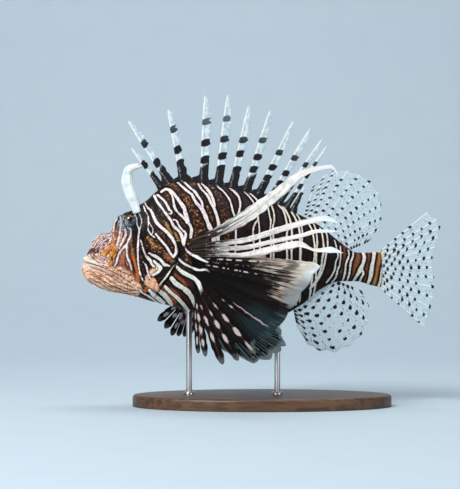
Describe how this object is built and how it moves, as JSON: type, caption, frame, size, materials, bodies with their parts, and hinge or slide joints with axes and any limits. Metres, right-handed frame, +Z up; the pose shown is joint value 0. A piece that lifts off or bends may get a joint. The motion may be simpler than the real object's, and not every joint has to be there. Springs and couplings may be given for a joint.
{
  "type": "red lionfish model",
  "caption": "Still life-size red lionfish with striped skin, tall banded back spines and fan-like breast fins, held over a flat oval base by rods.",
  "frame": {"origin": "centre of the display base's underside, below the fish's trunk", "axes": "the snout points to -X and the tail to +X; +Z is up; the fish's left side faces -Y"},
  "size_m": [0.3047, 0.2261, 0.264],
  "materials": {
    "head_skin": "moist skin, rust brown with pinkish white stripes",
    "jaw_skin": "moist skin, salmon with thin brown lines",
    "body_skin": "moist fine-scaled skin, dark maroon brown with thin white stripes",
    "eye": "wet and clear over a dark pupil and an olive gold iris",
    "feeler": "soft, white with faint grey bands",
    "dark_tag": "soft, near-black",
    "cheek_flap": "soft, tan",
    "spines": "pale spine with a dark-spotted membrane",
    "clear_fin": "see-through membrane with pale rays and dark spots",
    "dark_fin": "soft dark membrane with white blotches",
    "stand_base": "dark satin wood",
    "stand_rod": "satin"
  },
  "bodies": {
    "root": {"head": "head_skin", "lower_jaw": "jaw_skin", "gill_cover_left": "head_skin", "gill_cover_right": "head_skin", "trunk_front": "body_skin", "trunk_rear": "body_skin", "tail_base": "body_skin", "eye_left": "eye", "eye_right": "eye", "feeler_left": "feeler", "feeler_right": "feeler", "snout_tag_left": "dark_tag", "snout_tag_right": "dark_tag", "cheek_flap_left": "cheek_flap", "cheek_flap_right": "cheek_flap", "back_fin_spines": "spines", "back_fin_soft": "clear_fin", "anal_fin": "clear_fin", "tail_fin": "clear_fin", "breast_fin_left": "dark_fin", "breast_fin_right": "dark_fin", "pelvic_fin_left": "dark_fin", "pelvic_fin_right": "dark_fin", "stand_base": "stand_base", "stand_rod_front": "stand_rod", "stand_rod_rear": "stand_rod"}
  },
  "joints": []
}
